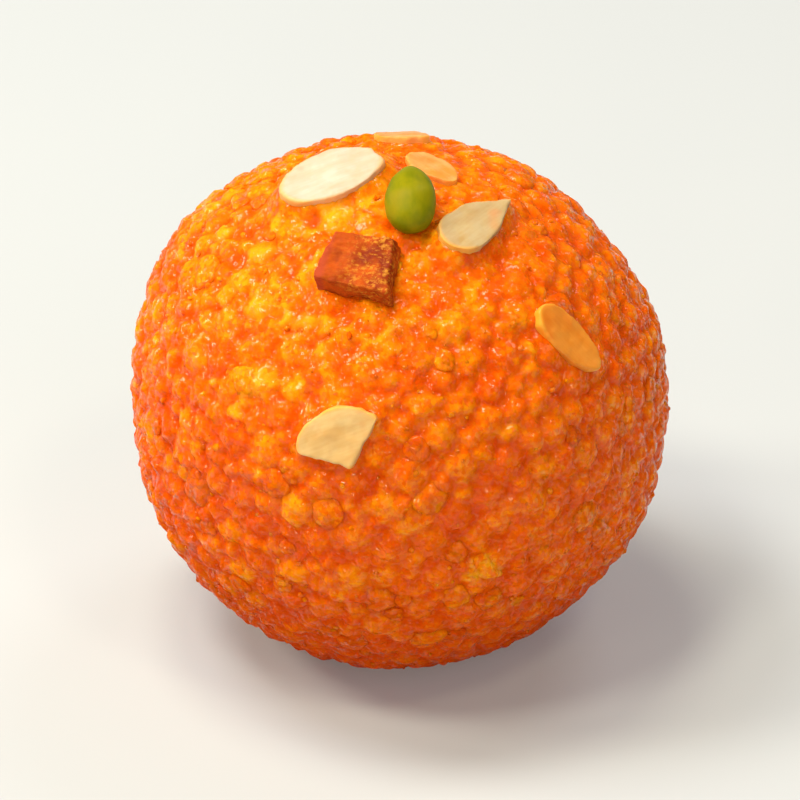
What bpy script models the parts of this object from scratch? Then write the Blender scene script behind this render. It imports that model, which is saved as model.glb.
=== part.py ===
"""A motichoor ladoo: a hand-rolled ball of small pressed boondi, garnished with nut flakes,
one pistachio and one chunk of almond that still has its skin.

Metres, +Z up. The origin is the middle of the flat spot that the ball rests on. A bearing of 0
faces the viewer (-Y) and grows to the viewer's right; a height of 90 is the top of the ball.
"""

import math

import bmesh
import bpy
import numpy as np
from mathutils import Matrix, Vector, noise

MM = 0.001

# The ball
BALL_WIDTH = 46.0 * MM  # across the tops of the boondi
BALL_HEIGHT_SHARE = 0.98  # the whole ball's height over its width, before it settles
SETTLED = 1.2 * MM  # height lost at the bottom, where its weight has flattened it
SQUARENESS = 2.1  # 2 is a true oval; more fills out its shoulders
# Where the hands left it fuller (rise above 0) or flatter, and how many degrees that spreads
PALM_MARKS = (
    dict(bearing=-113.0, height=34.0, rise=0.8 * MM, spread=26.0),
    dict(bearing=117.0, height=38.0, rise=-0.5 * MM, spread=24.0),
)
UNEVEN = 0.4 * MM  # smaller bumps and dips of the form, between its highest and its lowest
UNEVEN_SPREAD = 2.2  # how many of them there are from the middle of the ball to its skin
FOOT_BAND = 2.5 * MM  # above the flat spot, the boondi are pressed smoother

# The boondi, drops of fried gram flour
BOONDI_LARGEST = 2.1 * MM  # radius
BOONDI_SMALLEST = 0.95 * MM
BOONDI_SIZES = 20  # steps from the largest radius to the smallest
BOONDI_PER_SIZE = 44
TRIES_PER_SIZE = 2500
CROWDING = 0.78  # share of their two radii that two centres keep apart
SCATTER_SEED = 7
HOLLOW_SHARE = 0.35  # depth of the hollow between three boondi over their mean radius
SHOULDERED = 1.55 * MM  # boondi of this radius or more are pressed flat, with a shoulder
SHOULDER_OUT = 0.66  # where the shoulder lies from the boondi's middle (0) to its edge (1)
SHOULDER_SHARE = 0.07  # depth of the shoulder over the boondi's radius
TOP_SPREAD = 0.22 * MM  # how unevenly the boondi stand out

# The toppings
GAP = 0.3 * MM  # clear space between a topping and the pocket that it is pressed into
POCKET_MOUTH = 5.0 * MM  # how far a pocket's cutter reaches out past its topping
FLAKE_SIDES = 18
CHUNK_BEVEL = 0.5 * MM

# Bearing and height on the ball, turn of its length from the level direction, lean of its face
# about that length, and how far its underside is sunk below the tops of the boondi.
# Point is 0 for an oval and 1 for a teardrop. Each break is a straight broken edge: the angle
# that it faces in the flake's own plane, and its distance from the flake's middle.
FLAKES = {
    "flake_top_left": dict(
        bearing=-66.0, height=75.0, turn=83.0, lean=8.0, sink=0.35 * MM,
        length=9.2 * MM, width=6.0 * MM, thickness=1.5 * MM, point=0.15,
        breaks=((12.0, 4.2 * MM),),
    ),
    "flake_top_right": dict(
        bearing=40.5, height=65.0, turn=10.0, lean=-4.0, sink=0.4 * MM,
        length=8.4 * MM, width=5.4 * MM, thickness=1.4 * MM, point=0.8,
        breaks=(),
    ),
    "flake_top_back": dict(
        bearing=88.0, height=83.0, turn=-136.0, lean=0.0, sink=1.15 * MM,
        length=5.6 * MM, width=3.6 * MM, thickness=1.3 * MM, point=0.3,
        breaks=(),
    ),
    "flake_top_far": dict(
        bearing=178.0, height=70.0, turn=8.0, lean=0.0, sink=1.15 * MM,
        length=5.0 * MM, width=4.0 * MM, thickness=1.3 * MM, point=0.2,
        breaks=((200.0, 2.0 * MM),),
    ),
    "flake_front": dict(
        bearing=-13.2, height=21.4, turn=26.0, lean=0.0, sink=1.0 * MM,
        length=7.6 * MM, width=5.0 * MM, thickness=1.4 * MM, point=0.0,
        breaks=((236.0, 2.1 * MM), (309.0, 1.95 * MM)),
    ),
    "flake_right": dict(
        bearing=47.5, height=35.0, turn=-66.0, lean=0.0, sink=1.25 * MM,
        length=7.4 * MM, width=3.9 * MM, thickness=1.3 * MM, point=0.25,
        breaks=(),
    ),
    "flake_back_high": dict(
        bearing=-158.0, height=29.0, turn=25.0, lean=0.0, sink=0.9 * MM,
        length=8.4 * MM, width=4.8 * MM, thickness=1.4 * MM, point=0.6,
        breaks=(),
    ),
    "flake_back_right": dict(
        bearing=132.0, height=12.0, turn=70.0, lean=0.0, sink=1.1 * MM,
        length=7.6 * MM, width=4.4 * MM, thickness=1.3 * MM, point=0.3,
        breaks=((165.0, 2.4 * MM),),
    ),
    "flake_back_left": dict(
        bearing=-112.0, height=-2.0, turn=-58.0, lean=0.0, sink=1.1 * MM,
        length=8.2 * MM, width=4.2 * MM, thickness=1.3 * MM, point=0.35,
        breaks=(),
    ),
    "flake_back_low": dict(
        bearing=168.0, height=-22.0, turn=14.0, lean=0.0, sink=1.1 * MM,
        length=6.8 * MM, width=4.6 * MM, thickness=1.3 * MM, point=0.15,
        breaks=((198.0, 2.1 * MM), (290.0, 1.6 * MM)),
    ),
}
# Those that lie under the syrup, which tints them
GLAZED_FLAKES = ("flake_right", "flake_top_back", "flake_top_far", "flake_back_left")
PISTACHIO = dict(
    bearing=7.0, height=73.5, turn=84.0, lean=0.0, sink=1.0 * MM,
    length=7.0 * MM, width=4.6 * MM, thickness=4.2 * MM, taper=0.34,
)
CHUNK = dict(
    bearing=-15.0, height=57.4, turn=-3.0, lean=0.0, sink=0.9 * MM,
    length=5.8 * MM, width=4.9 * MM, thickness=2.3 * MM,
)

# Finishes, as the eye reads them (sRGB, 0 to 255), with a roughness
FINISHES = {
    "boondi_orange": ((236, 112, 12), 0.32),
    "nut_ivory": ((248, 228, 182), 0.45),
    "nut_glazed": ((238, 168, 84), 0.3),
    "pistachio_green": ((158, 176, 34), 0.4),
    "almond_skin": ((176, 78, 36), 0.5),
}

BALL_RADIUS = BALL_WIDTH / 2
BALL_RISE = BALL_RADIUS * BALL_HEIGHT_SHARE
BALL_CENTRE = Vector((0, 0, BALL_RISE - SETTLED))


def clear_scene():
    for obj in list(bpy.data.objects):
        bpy.data.objects.remove(obj, do_unlink=True)


def collection(name):
    made = bpy.data.collections.new(name)
    bpy.context.scene.collection.children.link(made)
    return made


def linear(level):
    """One channel of an sRGB colour, 0 to 255, as Blender stores it."""
    share = level / 255
    return share / 12.92 if share <= 0.04045 else ((share + 0.055) / 1.055) ** 2.4


def finish(name):
    """A plain material in the colour of the real thing, made once."""
    if name in bpy.data.materials:
        return bpy.data.materials[name]
    colour, roughness = FINISHES[name]
    material = bpy.data.materials.new(name)
    material.use_nodes = True
    shader = material.node_tree.nodes["Principled BSDF"]
    shader.inputs["Base Color"].default_value = (*map(linear, colour), 1)
    shader.inputs["Roughness"].default_value = roughness
    shader.inputs["Metallic"].default_value = 0.0
    material.diffuse_color = (*map(linear, colour), 1)
    return material


def add_object(name, bm, folder, material=None, place=None):
    """A named object from bmesh data, which is freed."""
    bmesh.ops.recalc_face_normals(bm, faces=bm.faces)
    mesh = bpy.data.meshes.new(name)
    bm.to_mesh(mesh)
    bm.free()
    obj = bpy.data.objects.new(name, mesh)
    folder.objects.link(obj)
    if place is not None:
        obj.matrix_world = place
    if material:
        mesh.materials.append(finish(material))
        mesh.shade_smooth()
        mesh.set_sharp_from_angle(angle=math.radians(50))
    else:
        obj.hide_render = True
        obj.display_type = "WIRE"
    return obj


# The ball's form


def direction(bearing, height):
    """The way out from the middle of the ball, from a bearing and a height in degrees."""
    around, above = math.radians(bearing), math.radians(height)
    return Vector((
        math.sin(around) * math.cos(above),
        -math.cos(around) * math.cos(above),
        math.sin(above),
    ))


def skin_radius(way):
    """From the middle of the ball to the tops of the boondi, in this direction."""
    level = math.hypot(way.x, way.y) / BALL_RADIUS
    upright = abs(way.z) / BALL_RISE
    radius = (level**SQUARENESS + upright**SQUARENESS) ** (-1 / SQUARENESS)
    for mark in PALM_MARKS:
        away = way.angle(direction(mark["bearing"], mark["height"]))
        radius += mark["rise"] * math.exp(-((away / math.radians(mark["spread"])) ** 2))
    return radius + UNEVEN * noise.noise(way * UNEVEN_SPREAD)


def relief_share(point):
    """1 on the open ball, fading to 0 at the flat spot, where the boondi are pressed flush."""
    share = min(max(point.z / FOOT_BAND, 0.0), 1.0)
    return share * share * (3 - 2 * share)


# The boondi


def scatter_boondi():
    """Where the boondi lie, as directions, and their radii: largest first, none crowded."""
    draw = np.random.default_rng(SCATTER_SEED)
    ways = np.empty((0, 3))
    radii = np.empty(0)
    for radius in np.linspace(BOONDI_LARGEST, BOONDI_SMALLEST, BOONDI_SIZES):
        full = len(radii) + BOONDI_PER_SIZE
        for way in draw.normal(size=(TRIES_PER_SIZE, 3)):
            way = way / np.linalg.norm(way)
            apart = np.linalg.norm(ways - way, axis=1) * BALL_RADIUS
            if len(radii) < full and (apart > (radii + radius) * CROWDING).all():
                ways = np.vstack([ways, way])
                radii = np.append(radii, radius)
    return ways, radii


def skin_point(way, depth):
    """The point this deep below the tops of the boondi, in this direction."""
    top = BALL_CENTRE + way * skin_radius(way)
    return top - way * depth * relief_share(top)


def neighbours_net(ways):
    """A net of triangles whose vertices are the boondi, so that each triangle has a hollow."""
    net = bmesh.new()
    for way in ways:
        net.verts.new(way)
    bmesh.ops.convex_hull(net, input=net.verts)
    net.verts.ensure_lookup_table()
    net.verts.index_update()
    net.faces.index_update()
    return net


def hollow_at(face, radii):
    """The way out to the hollow between three boondi, nearer to the small ones, and its depth."""
    members = [vertex.index for vertex in face.verts]
    way = sum((vertex.co / radii[vertex.index] for vertex in face.verts), Vector())
    return way.normalized(), HOLLOW_SHARE * sum(radii[i] for i in members) / len(members)


def faces_around(vertex):
    """The faces of a closed net at one vertex, in their order round it."""
    faces = []
    loop = vertex.link_loops[0]
    while loop.face not in faces:
        faces.append(loop.face)
        loop = loop.link_loop_prev.link_loop_radial_next
    return faces


def ball_body():
    """The ball of pressed boondi, still whole at the bottom: each boondi is a top in a ring of
    hollows, and a large one has a shoulder between them."""
    ways, radii = scatter_boondi()
    sunk = np.random.default_rng(SCATTER_SEED + 1).uniform(0, TOP_SPREAD, len(radii))
    net = neighbours_net(ways)
    bm = bmesh.new()
    hollows = [hollow_at(face, radii) for face in net.faces]
    bed = [bm.verts.new(skin_point(way, depth)) for way, depth in hollows]
    for boondi in net.verts:
        top, radius, way = sunk[boondi.index], radii[boondi.index], boondi.co.normalized()
        around = [face.index for face in faces_around(boondi)]
        ring = [bed[i] for i in around]
        if radius >= SHOULDERED:
            ways_in = [way.lerp(hollows[i][0], SHOULDER_OUT).normalized() for i in around]
            depth = top + SHOULDER_SHARE * radius
            shoulder = [bm.verts.new(skin_point(way_in, depth)) for way_in in ways_in]
            ring_between(bm, ring, shoulder)
            ring = shoulder
        middle = bm.verts.new(skin_point(way, top))
        for first, second in zip(ring, ring[1:] + ring[:1]):
            bm.faces.new((first, second, middle))
    net.free()
    print(len(radii), "boondi")
    return bm


# The toppings, each modelled flat: length along X, width along Y, its face up along Z


def topping_place(spec, rise):
    """Sets a topping down on the ball, rise being its middle's height above its underside."""
    out = direction(spec["bearing"], spec["height"])
    level = Vector((0, 0, 1)).cross(out).normalized()
    spot = BALL_CENTRE + out * (skin_radius(out) - spec["sink"] + rise)
    upright = Matrix((level, out.cross(level), out)).transposed().to_4x4()
    turn = Matrix.Rotation(math.radians(spec["turn"]), 4, "Z")
    lean = Matrix.Rotation(math.radians(spec["lean"]), 4, "X")
    return Matrix.Translation(spot) @ upright @ turn @ lean


def flake_outline(spec, grown):
    """The flake's outline as points of a flat ring: an oval that narrows towards one end, with
    its broken edges cut straight. Grown widens it all round."""
    half_length, half_width = spec["length"] / 2, spec["width"] / 2
    outline = []
    for side in range(FLAKE_SIDES):
        angle = 2 * math.pi * side / FLAKE_SIDES
        narrow = 1 - spec["point"] * (0.5 + 0.5 * math.cos(angle)) ** 1.5
        point = Vector((half_length * math.cos(angle), half_width * math.sin(angle) * narrow))
        point += Vector((point.x / half_length**2, point.y / half_width**2)).normalized() * grown
        for facing, distance in spec["breaks"]:
            out = Vector((math.cos(math.radians(facing)), math.sin(math.radians(facing))))
            point -= out * max(point.dot(out) - distance - grown, 0.0)
        outline.append(point)
    return outline


def ring_between(bm, lower, upper):
    """Walls from one ring of vertices up to another."""
    count = len(lower)
    for i in range(count):
        j = (i + 1) % count
        bm.faces.new((lower[i], lower[j], upper[j], upper[i]))


def flake_body(spec, grown=0.0, mouth=0.0):
    """A flake with rounded edges, or with grown and mouth its pocket's straight-sided cutter."""
    half = spec["thickness"] / 2
    outline = flake_outline(spec, grown)
    if mouth:
        levels = [(-half - grown, 1.0), (half + mouth, 1.0)]
    else:
        levels = [(-half, 0.84), (-half * 0.45, 1.0), (half * 0.4, 1.0), (half, 0.86)]
    bm = bmesh.new()
    rings = [[bm.verts.new((p.x * s, p.y * s, z)) for p in outline] for z, s in levels]
    for lower, upper in zip(rings, rings[1:]):
        ring_between(bm, lower, upper)
    bm.faces.new(reversed(rings[0]))
    bm.faces.new(rings[-1])
    return bm


def pistachio_body(spec, grown=0.0):
    """A kernel: an egg that narrows towards one end."""
    bm = bmesh.new()
    bmesh.ops.create_uvsphere(bm, u_segments=12, v_segments=8, radius=1.0)
    bmesh.ops.rotate(bm, verts=bm.verts, matrix=Matrix.Rotation(math.pi / 2, 3, "Y"))
    half = Vector((spec["length"], spec["width"], spec["thickness"])) / 2
    for vertex in bm.verts:
        narrow = 1 - spec["taper"] * (0.5 + 0.5 * vertex.co.x) ** 2
        vertex.co.x *= half.x + grown
        vertex.co.y *= half.y * narrow + grown
        vertex.co.z *= half.z * narrow + grown
    return bm


def chunk_body(spec, grown=0.0, mouth=0.0):
    """A knife-cut block of almond with worn edges, wider at its lower side."""
    bm = bmesh.new()
    bmesh.ops.create_cube(bm, size=1.0)
    half = Vector((spec["length"], spec["width"], spec["thickness"])) / 2
    for vertex in bm.verts:
        right, far, top = (1 if c > 0 else -1 for c in vertex.co)
        vertex.co = Vector((
            right * half.x * (1.0 - 0.13 * far) - 0.05 * half.x * top,
            far * half.y * (1.0 + 0.08 * right),
            top * half.z * (1.0 - 0.1 * right * far),
        ))
        vertex.co += Vector((right, far, top)) * grown
        if mouth and top > 0:
            vertex.co.z += mouth
    if not mouth:
        bmesh.ops.bevel(
            bm, geom=list(bm.edges), offset=CHUNK_BEVEL, segments=1, affect="EDGES", profile=0.5
        )
    return bm


def add_toppings(part, cutters):
    """Every topping as its own solid, and a pocket cutter for each, a gap larger all round."""
    for name, spec in FLAKES.items():
        place = topping_place(spec, spec["thickness"] / 2)
        material = "nut_glazed" if name in GLAZED_FLAKES else "nut_ivory"
        add_object(name, flake_body(spec), part, material, place)
        add_object(f"{name}_pocket", flake_body(spec, GAP, POCKET_MOUTH), cutters, None, place)

    place = topping_place(PISTACHIO, PISTACHIO["thickness"] / 2)
    add_object("pistachio", pistachio_body(PISTACHIO), part, "pistachio_green", place)
    add_object("pistachio_pocket", pistachio_body(PISTACHIO, GAP), cutters, None, place)

    place = topping_place(CHUNK, CHUNK["thickness"] / 2)
    add_object("almond_chunk", chunk_body(CHUNK), part, "almond_skin", place)
    add_object("almond_pocket", chunk_body(CHUNK, GAP, POCKET_MOUTH), cutters, None, place)


def add_table(cutters):
    """The level surface that flattens the bottom of the ball, as a cutter."""
    bm = bmesh.new()
    bmesh.ops.create_cube(bm, size=BALL_WIDTH)
    bmesh.ops.translate(bm, verts=bm.verts, vec=(0, 0, -BALL_WIDTH / 2))
    add_object("table_top", bm, cutters)


def add_ball(part, cutters):
    ball = add_object("ladoo", ball_body(), part, "boondi_orange")
    cut =ball.modifiers.new("pockets and flat spot", "BOOLEAN")
    cut.operation = "DIFFERENCE"
    cut.operand_type = "COLLECTION"
    cut.collection = cutters
    cut.solver = "EXACT"


def main():
    clear_scene()
    part, cutters = collection("ladoo"), collection("cutters")
    add_toppings(part, cutters)
    add_table(cutters)
    add_ball(part, cutters)


main()
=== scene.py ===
# A motichoor ladoo with its nuts, on a plain pale floor
import math

import bpy
import numpy as np
from mathutils import Matrix, Vector, noise


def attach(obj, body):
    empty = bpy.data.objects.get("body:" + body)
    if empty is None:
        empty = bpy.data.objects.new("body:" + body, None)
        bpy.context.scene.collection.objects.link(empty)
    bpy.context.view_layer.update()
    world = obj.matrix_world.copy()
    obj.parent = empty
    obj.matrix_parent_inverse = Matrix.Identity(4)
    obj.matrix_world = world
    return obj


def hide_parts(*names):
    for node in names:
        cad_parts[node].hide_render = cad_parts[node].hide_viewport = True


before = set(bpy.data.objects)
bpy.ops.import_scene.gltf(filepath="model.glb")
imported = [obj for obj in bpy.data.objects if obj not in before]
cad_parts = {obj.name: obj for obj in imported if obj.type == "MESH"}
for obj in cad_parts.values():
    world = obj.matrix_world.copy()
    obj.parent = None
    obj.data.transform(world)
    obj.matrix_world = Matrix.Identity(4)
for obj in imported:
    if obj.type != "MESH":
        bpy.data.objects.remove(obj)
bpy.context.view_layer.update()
mm = 0.001
noise.seed_set(5)  # else noise_vector differs from run to run

# The form of the ball: the same named values as the solid that it stands for
ball = {
    "width": 46.0 * mm,
    "heightShare": 0.98,
    "settled": 1.2 * mm,  # height lost where its weight has flattened it
    "squareness": 2.1,
    # bearing, height, rise, spread in degrees: where the hands left it fuller or flatter
    "palmMarks": ((-113.0, 34.0, 0.8 * mm, 26.0), (117.0, 38.0, -0.5 * mm, 24.0)),
    "uneven": 0.4 * mm,
    "unevenSpread": 2.2,
}
ballRadius = ball["width"] / 2
ballRise = ballRadius * ball["heightShare"]
ballCentre = Vector((0, 0, ballRise - ball["settled"]))


def deselectAll():
    bpy.ops.object.select_all(action="DESELECT")


def wayOut(bearing, height):
    # From the middle of the ball: bearing 0 faces the viewer, height 90 is the top
    around, above = math.radians(bearing), math.radians(height)
    level = math.cos(above)
    return Vector((math.sin(around) * level, -math.cos(around) * level, math.sin(above)))


def noiseAt(points):
    return np.array([noise.noise(point) for point in points.tolist()])


def skinRadii(ways):
    # How far out the tops of the boondi lie, for many directions at once
    level = np.hypot(ways[:, 0], ways[:, 1]) / ballRadius
    upright = np.abs(ways[:, 2]) / ballRise
    square = ball["squareness"]
    radii = (level**square + upright**square) ** (-1 / square)
    for bearing, height, rise, spread in ball["palmMarks"]:
        away = np.arccos(np.clip(ways @ np.array(wayOut(bearing, height)), -1, 1))
        radii += rise * np.exp(-((away / math.radians(spread)) ** 2))
    return radii + ball["uneven"] * noiseAt(ways * ball["unevenSpread"])


def skinPoints(ways, depths):
    return np.array(ballCentre) + ways * (skinRadii(ways) - depths)[:, None]


# Where the toppings lie. Bearing and height on the ball, turn of the length from level, lean
# about the length, sink of the underside below the boondi's tops; lengths in metres.
flakes = {
    "flake_top_left": {
        "place": (-66.0, 75.0, 83.0, 8.0, 0.35 * mm), "size": (9.2 * mm, 6.0 * mm, 1.5 * mm),
        "point": 0.15, "breaks": ((12.0, 4.2 * mm),), "finish": "nutIvory",
    },
    "flake_top_right": {
        "place": (40.5, 65.0, 10.0, -4.0, 0.4 * mm), "size": (8.4 * mm, 5.4 * mm, 1.4 * mm),
        "point": 0.8, "breaks": (), "finish": "nutCream",
    },
    "flake_top_back": {
        "place": (88.0, 83.0, -136.0, 0.0, 1.15 * mm), "size": (5.6 * mm, 3.6 * mm, 1.3 * mm),
        "point": 0.3, "breaks": (), "finish": "nutPeach",
    },
    "flake_top_far": {
        "place": (178.0, 70.0, 8.0, 0.0, 1.15 * mm), "size": (5.0 * mm, 4.0 * mm, 1.3 * mm),
        "point": 0.2, "breaks": ((200.0, 2.0 * mm),), "finish": "nutPeach",
    },
    "flake_front": {
        "place": (-13.2, 21.4, 26.0, 0.0, 1.0 * mm), "size": (7.6 * mm, 5.0 * mm, 1.4 * mm),
        "point": 0.0, "breaks": ((236.0, 2.1 * mm), (309.0, 1.95 * mm)), "finish": "nutTan",
        "ragged": 0.2 * mm,
    },
    "flake_right": {
        "place": (47.5, 35.0, -66.0, 0.0, 1.25 * mm), "size": (7.4 * mm, 3.9 * mm, 1.3 * mm),
        "point": 0.25, "breaks": (), "finish": "nutGlazed",
    },
    "flake_back_high": {
        "place": (-158.0, 29.0, 25.0, 0.0, 0.9 * mm), "size": (8.4 * mm, 4.8 * mm, 1.4 * mm),
        "point": 0.6, "breaks": (), "finish": "nutTan",
    },
    "flake_back_right": {
        "place": (132.0, 12.0, 70.0, 0.0, 1.1 * mm), "size": (7.6 * mm, 4.4 * mm, 1.3 * mm),
        "point": 0.3, "breaks": ((165.0, 2.4 * mm),), "finish": "nutTan",
    },
    "flake_back_left": {
        "place": (-112.0, -2.0, -58.0, 0.0, 1.1 * mm), "size": (8.2 * mm, 4.2 * mm, 1.3 * mm),
        "point": 0.35, "breaks": (), "finish": "nutGlazed",
    },
    "flake_back_low": {
        "place": (168.0, -22.0, 14.0, 0.0, 1.1 * mm), "size": (6.8 * mm, 4.6 * mm, 1.3 * mm),
        "point": 0.15, "breaks": ((198.0, 2.1 * mm), (290.0, 1.6 * mm)), "finish": "nutTan",
    },
}
pistachio = {
    "place": (7.0, 73.5, 84.0, 0.0, 1.0 * mm), "size": (7.0 * mm, 4.6 * mm, 4.2 * mm),
    "taper": 0.34, "segments": 64, "rings": 40,
    "relief": (0.35 * mm, 0.05 * mm),  # depth of the waves and of the pits
}
almondChunk = {
    "place": (-15.0, 57.4, -3.0, 0.0, 0.9 * mm), "size": (5.8 * mm, 4.9 * mm, 2.3 * mm),
    "farSlant": 0.13, "rightSlant": 0.08, "topShift": 0.05, "topSlant": 0.1,
    "smoothing": 8, "relief": (0.7 * mm, 0.3 * mm),
}


def toppingPlace(spec):
    bearing, height, turn, lean, sink = spec["place"]
    out = wayOut(bearing, height)
    level = Vector((0, 0, 1)).cross(out).normalized()
    skin = float(skinRadii(np.array([out]))[0])
    spot = ballCentre + out * (skin - sink + spec["size"][2] / 2)
    upright = Matrix((level, out.cross(level), out)).transposed().to_4x4()
    turned = Matrix.Rotation(math.radians(turn), 4, "Z")
    leaned = Matrix.Rotation(math.radians(lean), 4, "X")
    return Matrix.Translation(spot) @ upright @ turned @ leaned


# The boondi that the ball is pressed from
boondi = {
    "largest": 2.1 * mm,  # radius
    "smallest": 0.95 * mm,
    "sizes": 20,
    "perSize": 44,
    "tries": 2500,
    "crowding": 0.78,
    "seed": 7,
    # small ones that fill in between the others
    "fillLargest": 0.9 * mm,
    "fillSmallest": 0.5 * mm,
    "fillSizes": 9,
    "fillPerSize": 80,
    "fillCrowding": 0.74,
    "fillSunk": (0.3, 1.4),  # they lie this share of the next value deeper
    "topSpread": 0.22 * mm,  # how unevenly they stand out
    "neighbours": 1.5,  # those within so many of both radii press on each other
    "reach": 1.3,  # a free side spreads to this share of the radius
    "overlap": 0.24 * mm,  # how far two squeezed ones run into each other
    "wobble": 0.16,  # how far their outlines stray from smooth
    "wobbleGrain": (1.6, 1.6, 0.5),  # more gives smaller waves
    "roundCorners": 7.0,  # more gives sharper corners between neighbours
    "topShare": 0.4,  # height of the crown above its widest level, over the radius
    "bottomShare": 0.8,  # depth of the hidden part, over the radius
    "flatness": (0.62, 1.0),  # 1 is round, less is pressed flatter
    "flatnessStep": 0.618034,  # from one to the next, so that they fill the range evenly
    "dent": 0.22 * mm,  # swellings of each one's surface, as wide as half of it
    "dentGrain": 1.2,
    "dentShift": 3.0,  # away from the place in the noise that the others use
    "wrinkle": 0.09 * mm,  # finer ones
    "wrinkleGrain": 3.4,
    "smootherBelow": 1.5 * mm,  # radius below which both get less
    "noiseStep": 7.3,  # gives each its own place in the noise
    "fineAbove": 1.45 * mm,  # radius from which they get the finer mesh
    # bearing, height, radius, tone: a few paler large ones low on the front
    "paleOnes": (
        (18.0, -10.0, 2.0 * mm, 0.8), (6.7, -31.0, 1.5 * mm, 0.55), (-40.0, 28.0, 1.6 * mm, 0.8),
    ),
    # bearing and height of the side where they are finer and more varied
    "crispWay": (-75.0, 25.0),
    "toneSpread": (0.2, 0.95),  # on the far side from there, and on it
    "toneEven": 2.2,  # more keeps their tones nearer the middle
    "lowShadeDeeper": 0.22,  # painted shade: how much deeper in tone the lowest are made
    # where painted light makes the boondi paler and more golden, the side the lamps light most
    "litSideWay": (-55.0, 62.0),
    "litSideRise": 0.3,  # painted light: how much paler and more golden the tones around that way are made
    "litSideFocus": 4,  # more keeps the painted light closer to it
}


def scatterWays(seed, first, last, sizes, perSize, crowding, ways, radii):
    # Largest first, and none crowded
    draw = np.random.default_rng(seed)
    for radius in np.linspace(first, last, sizes):
        full = len(radii) + perSize
        for way in draw.normal(size=(boondi["tries"], 3)):
            way = way / np.linalg.norm(way)
            apart = np.linalg.norm(ways - way, axis=1) * ballRadius
            if len(radii) < full and (apart > (radii + radius) * crowding).all():
                ways = np.vstack([ways, way])
                radii = np.append(radii, radius)
    return ways, radii


def scatterBoondi():
    ways, radii = scatterWays(
        boondi["seed"], boondi["largest"], boondi["smallest"], boondi["sizes"],
        boondi["perSize"], boondi["crowding"], np.empty((0, 3)), np.empty(0),
    )
    sunk = np.random.default_rng(boondi["seed"] + 1).uniform(0, boondi["topSpread"], len(radii))
    ways, radii = scatterWays(
        boondi["seed"] + 2, boondi["fillLargest"], boondi["fillSmallest"], boondi["fillSizes"],
        boondi["fillPerSize"], boondi["fillCrowding"], ways, radii,
    )
    extra = len(radii) - len(sunk)
    fillSunk = np.random.default_rng(boondi["seed"] + 3).uniform(*boondi["fillSunk"], extra)
    return ways, radii, np.append(sunk, fillSunk * boondi["topSpread"])


def unitGrain(subdivisions):
    # One round grain, modelled once; its points and faces are copied for all the others
    deselectAll()
    bpy.ops.mesh.primitive_ico_sphere_add(subdivisions=subdivisions, radius=1.0)
    seedGrain = bpy.context.active_object
    points = np.array([vertex.co for vertex in seedGrain.data.vertices])
    faces = np.array([list(face.vertices) for face in seedGrain.data.polygons])
    bpy.data.objects.remove(seedGrain, do_unlink=True)
    return points / np.linalg.norm(points, axis=1)[:, None], faces


def tangents(way):
    side = np.cross(way, (0.0, 0.0, 1.0) if abs(way[2]) < 0.9 else (1.0, 0.0, 0.0))
    side /= np.linalg.norm(side)
    return side, np.cross(way, side)


def pressedGrain(index, ways, radii, sunk, unit):
    # The grain spreads until it meets its neighbours, and its outside follows the ball
    way, radius = ways[index], radii[index]
    side, up = tangents(way)
    offsets = (ways - way) * ballRadius
    near = np.linalg.norm(offsets, axis=1) < (radii + radius) * boondi["neighbours"]
    near[index] = False
    flat = np.stack([offsets[near] @ side, offsets[near] @ up], axis=1)
    apart = np.linalg.norm(flat, axis=1)
    meets = apart * radius / (radius + radii[near]) + boondi["overlap"]

    across = np.hypot(unit[:, 0], unit[:, 1])
    heading = unit[:, :2] / np.maximum(across, 1e-9)[:, None]
    toward = np.maximum(heading @ (flat / apart[:, None]).T, 0.02)
    power = boondi["roundCorners"]
    packed = ((meets / toward) ** -power).sum(axis=1) + (radius * boondi["reach"]) ** -power
    place = unit + index * boondi["noiseStep"]
    wobbles = noiseAt(place * boondi["wobbleGrain"])
    reach = packed ** (-1 / power) * (1 + boondi["wobble"] * wobbles)

    least, most = boondi["flatness"]
    flatness = least + (most - least) * (index * boondi["flatnessStep"] % 1)
    lateral = heading * (reach * across ** flatness)[:, None]
    rise = np.abs(unit[:, 2]) ** flatness * radius
    rise = np.where(unit[:, 2] > 0, rise * boondi["topShare"], -rise * boondi["bottomShare"])
    bumps = noiseAt(place * boondi["dentGrain"] + boondi["dentShift"]) * boondi["dent"]
    bumps += noiseAt(place * boondi["wrinkleGrain"]) * boondi["wrinkle"]
    bumps *= min(1, radius / boondi["smootherBelow"])
    depth = sunk[index] + radius * boondi["topShare"] - rise + bumps
    out = way * ballRadius + lateral[:, :1] * side + lateral[:, 1:] * up
    return out / np.linalg.norm(out, axis=1)[:, None], depth


def insideOutline(points, outline):
    # Crossing test for flat points against a closed outline
    inside = np.zeros(len(points), bool)
    for (x0, y0), (x1, y1) in zip(outline, np.roll(outline, -1, axis=0)):
        spans = (y0 > points[:, 1]) != (y1 > points[:, 1])
        crossing = x0 + (points[:, 1] - y0) * (x1 - x0) / (y1 - y0 + 1e-12)
        inside ^= spans & (points[:, 0] < crossing)
    return inside


tipCurve = 1.5  # more keeps a pointed flake wide for longer


def flakeOutline(spec, sides):
    halfLength, halfWidth = spec["size"][0] / 2, spec["size"][1] / 2
    outline = []
    for i in range(sides):
        angle = 2 * math.pi * i / sides
        narrow = 1 - spec["point"] * (0.5 + 0.5 * math.cos(angle)) ** tipCurve
        point = Vector((halfLength * math.cos(angle), halfWidth * math.sin(angle) * narrow))
        for facing, distance in spec["breaks"]:
            out = Vector((math.cos(math.radians(facing)), math.sin(math.radians(facing))))
            point -= out * max(point.dot(out) - distance, 0.0)
        outline.append(point)
    return outline


pressing = {
    "clear": 0.04 * mm,  # between a topping and what it has pressed down
    "outlineSides": 60,
    "above": 4.0 * mm,  # what is further out than this isn't under the topping
    "kernelEdge": 0.02,  # the very edge of the pistachio presses nothing down
}


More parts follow.
